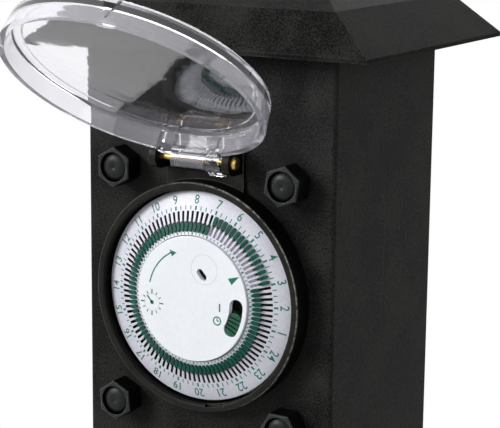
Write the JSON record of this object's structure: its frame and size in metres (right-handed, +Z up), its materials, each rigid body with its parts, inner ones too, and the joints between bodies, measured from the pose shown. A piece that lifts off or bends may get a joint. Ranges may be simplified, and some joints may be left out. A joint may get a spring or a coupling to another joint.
{
  "type": "garden socket post",
  "caption": "Garden power post: hipped roof, 24-hour segment timer under a clear hinged lid, and earthed sockets with spring flaps on a dark column.",
  "frame": {"origin": "middle of the foot plate's underside, on the column's axis", "axes": "+X to the right seen from the front, +Y to the back, +Z up"},
  "size_m": [0.126, 0.1673, 0.3359],
  "materials": {
    "column": "fine spark texture, charcoal black",
    "roof": "fine spark texture, charcoal black",
    "bezel": "satin, dark grey",
    "sleeve": "satin, mid grey",
    "cap": "satin, dark grey",
    "dial": "satin, white with a lavender cast",
    "disc": "satin, white",
    "tappet": "satin, dark green",
    "slider": "satin, green",
    "clear": "clear, smooth",
    "brass": "plain",
    "steel": "zinc plated",
    "spring": "drawn wire",
    "white": "satin, white",
    "black": "satin, black",
    "socket": "satin, dark grey",
    "rubber": "matt, black",
    "block": "satin, off white"
  },
  "bodies": {
    "post": {"foot_plate": "column", "front_shell": "column", "rear_shell": "column", "roof_cap": "roof", "top_plate": "black", "roof_screws": "steel", "shell_screws": "steel", "foot_screws": "steel", "gland_body": "black", "gland_cap": "black", "gland_seal": "rubber", "gland_locknut": "black", "terminal_block": "block", "terminal_screws": "steel", "timer_bezel": "bezel", "timer_seal": "rubber", "hex_sleeves": "sleeve", "screw_caps": "cap", "timer_screws": "steel", "hinge_pin": "brass", "timer_housing": "white", "timer_cover": "white", "dial_disc": "disc", "transfer_pin": "steel", "motor": "steel", "microswitch": "black", "timer_terminals": "brass", "socket_screws": "steel", "socket_frame_1": "socket", "socket_well_1": "socket", "flap_pin_1": "steel", "flap_spring_1": "spring", "earth_spring_1": "spring", "contact_tubes_1": "brass", "socket_frame_2": "socket", "socket_well_2": "socket", "flap_pin_2": "steel", "flap_spring_2": "spring", "earth_spring_2": "spring", "contact_tubes_2": "brass"},
    "lid_body": {"lid": "clear", "hinge_coil": "spring"},
    "dial_body": {"dial_ring": "dial", "tappets_set": "tappet", "tappets_unset": "tappet"},
    "tappet_a_body": {"tappet_a": "tappet"},
    "tappet_b_body": {"tappet_b": "tappet"},
    "tappet_c_body": {"tappet_c": "tappet"},
    "tappet_d_body": {"tappet_d": "tappet"},
    "slider_body": {"mode_slider": "slider"},
    "transfer_body": {"transfer_gear": "white"},
    "motor_rotor": {"motor_pinion": "brass"},
    "lever_body": {"switch_lever": "white"},
    "plunger_body": {"switch_plunger": "slider"},
    "flap_1_body": {"flap_1": "socket", "flap_seal_1": "rubber"},
    "flap_2_body": {"flap_2": "socket", "flap_seal_2": "rubber"}
  },
  "joints": [
    {"name": "lid_hinge", "type": "hinge", "parent": "post", "child": "lid_body", "pos_m": [0, -0.04195, 0.2726], "axis": [-1, 0, 0], "range_deg": [-125.5, 15]},
    {"name": "dial_turn", "type": "hinge", "parent": "post", "child": "dial_body", "pos_m": [0, -0.03575, 0.228], "axis": [0, -1, 0], "continuous": true},
    {"name": "transfer_spin", "type": "hinge", "parent": "post", "child": "transfer_body", "pos_m": [-0.01379, -0.03575, 0.22557], "axis": [0, -1, 0], "continuous": true},
    {"name": "motor_spin", "type": "hinge", "parent": "post", "child": "motor_rotor", "pos_m": [-0.01262, -0.03575, 0.23751], "axis": [0, -1, 0], "continuous": true},
    {"name": "mode_slide", "type": "hinge", "parent": "post", "child": "slider_body", "pos_m": [0, -0.03575, 0.228], "axis": [0, -1, 0], "range_deg": [0, 15]},
    {"name": "tappet_a_slide", "type": "slide", "parent": "dial_body", "child": "tappet_a_body", "axis": [0.9286, 0.2886, 0.2333], "range_m": [0, 0.00337]},
    {"name": "tappet_b_slide", "type": "slide", "parent": "dial_body", "child": "tappet_b_body", "axis": [0.9113, 0.2886, 0.2936], "range_m": [-0.00337, 0]},
    {"name": "tappet_c_slide", "type": "slide", "parent": "dial_body", "child": "tappet_c_body", "axis": [0.2622, 0.2886, 0.9208], "range_m": [-0.00337, 0]},
    {"name": "tappet_d_slide", "type": "slide", "parent": "dial_body", "child": "tappet_d_body", "axis": [0.2014, 0.2886, 0.936], "range_m": [0, 0.00337]},
    {"name": "lever_rock", "type": "hinge", "parent": "post", "child": "lever_body", "pos_m": [0.01964, -0.02855, 0.24912], "axis": [0.8755, 0, 0.4833], "range_deg": [0, 4], "stiffness_Nm_per_rad": 0.002, "springref_deg": -5.73},
    {"name": "plunger_press", "type": "slide", "parent": "post", "child": "plunger_body", "axis": [0, 1, 0], "range_m": [0, 0.000834]},
    {"name": "flap_1_hinge", "type": "hinge", "parent": "post", "child": "flap_1_body", "pos_m": [0, -0.04445, 0.0946], "axis": [-1, 0, 0], "range_deg": [0, 105], "stiffness_Nm_per_rad": 0.004, "springref_deg": -45.84},
    {"name": "flap_2_hinge", "type": "hinge", "parent": "post", "child": "flap_2_body", "pos_m": [0, -0.04445, 0.1706], "axis": [-1, 0, 0], "range_deg": [0, 105], "stiffness_Nm_per_rad": 0.004, "springref_deg": -45.84}
  ],
  "couplings": [
    {"joint": "transfer_spin", "follows": "dial_turn", "ratio": 4.5},
    {"joint": "motor_spin", "follows": "dial_turn", "ratio": -9},
    {"joint": "plunger_press", "follows": "lever_rock", "m_per_rad": 0.0116}
  ]
}
